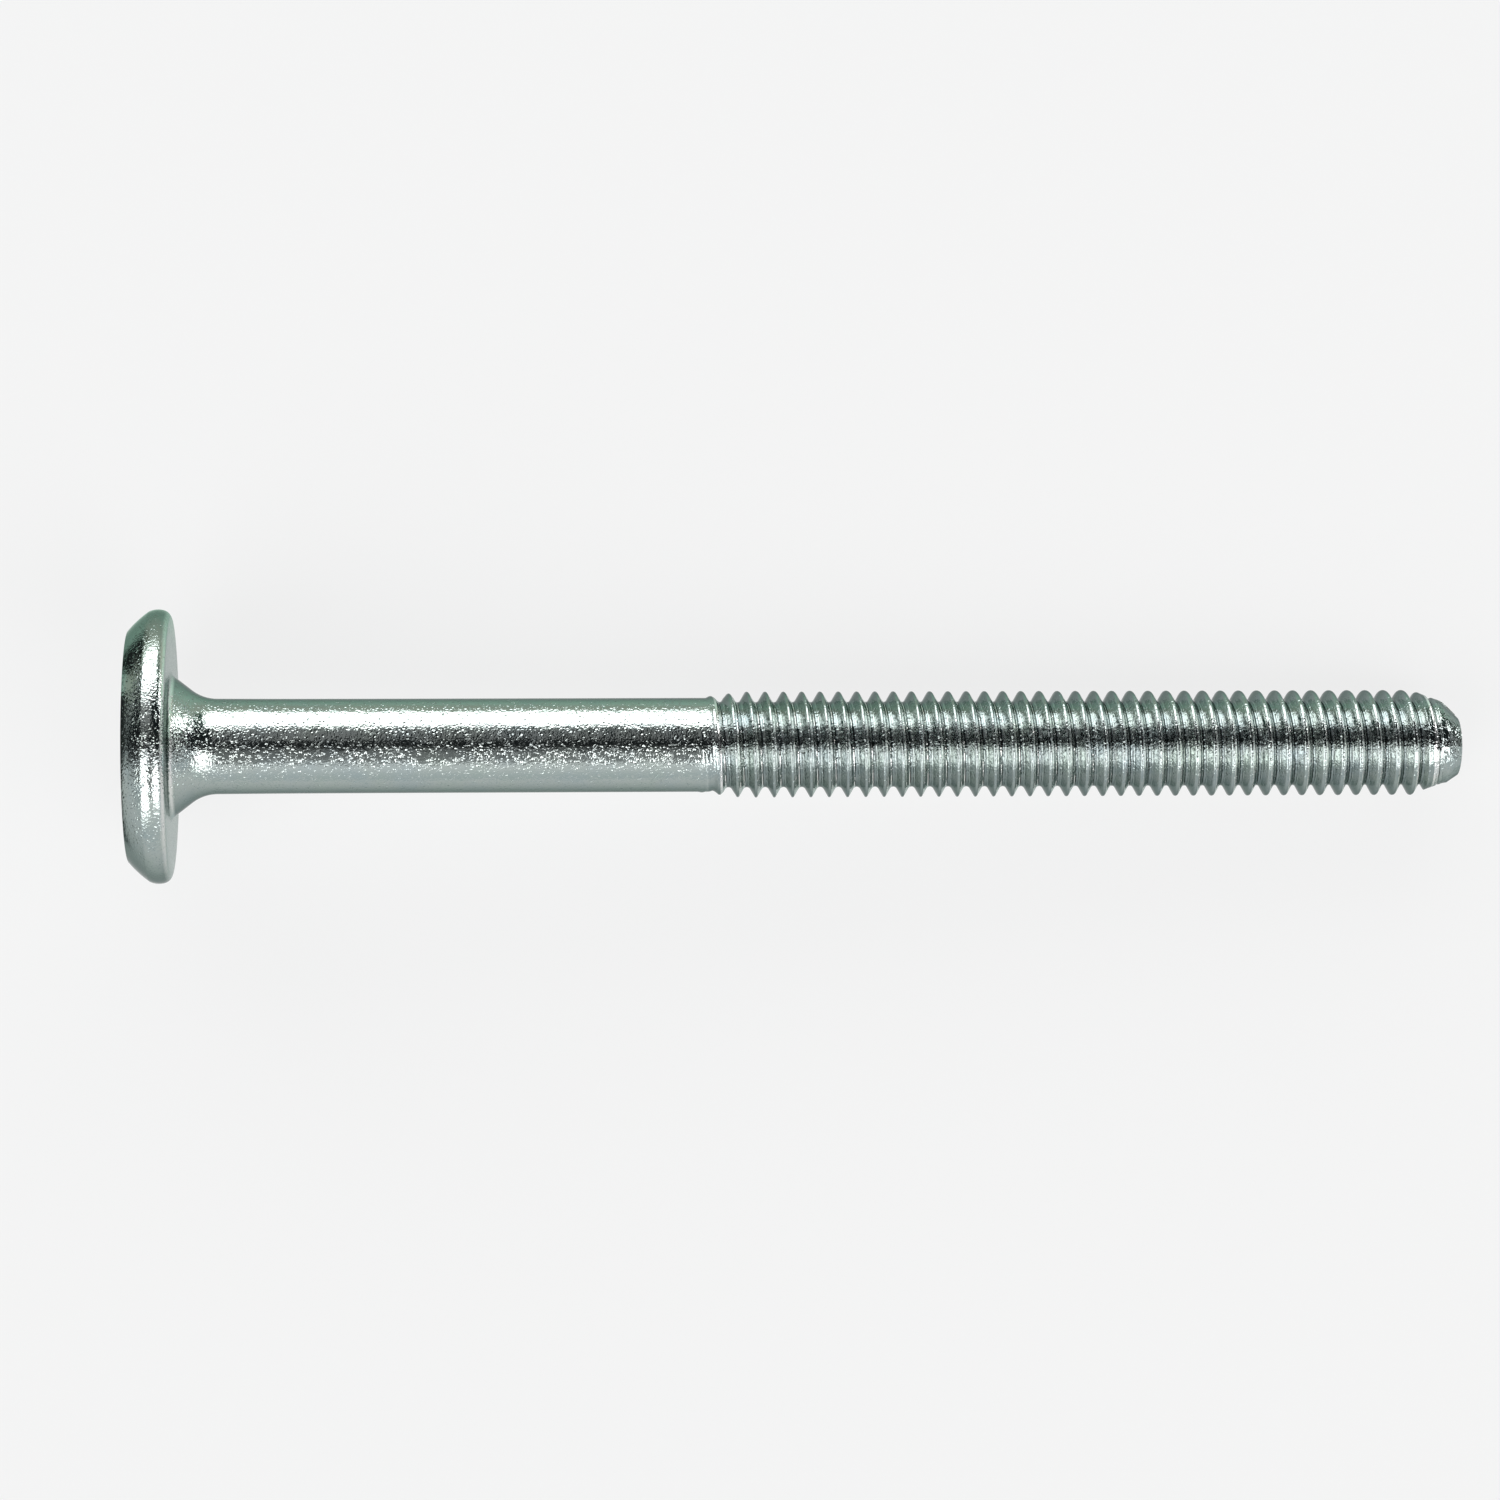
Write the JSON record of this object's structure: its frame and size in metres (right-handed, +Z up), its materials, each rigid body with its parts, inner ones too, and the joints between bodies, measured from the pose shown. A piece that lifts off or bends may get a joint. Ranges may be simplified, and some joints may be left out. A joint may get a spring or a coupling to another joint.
{
  "type": "low head socket cap screw",
  "caption": "Metric M6 screw with a thin wide low head, a hex socket, a flared neck, a plain shank and a long thread, for clamping furniture panels and frames with a hex key.",
  "frame": {"origin": "on the floor, under the centre of the object's box", "axes": "+X along the floor from the head to the thread end, +Z up. The screw lies at rest on its head rim and thread end, so its own axis points along +X and falls by 3.77 degrees"},
  "size_m": [0.0726, 0.0148, 0.0148],
  "materials": {
    "zinc_plate": "bright zinc plate with a clear blue-green passivation"
  },
  "bodies": {
    "root": {"cap_screw": "zinc_plate"}
  },
  "joints": []
}
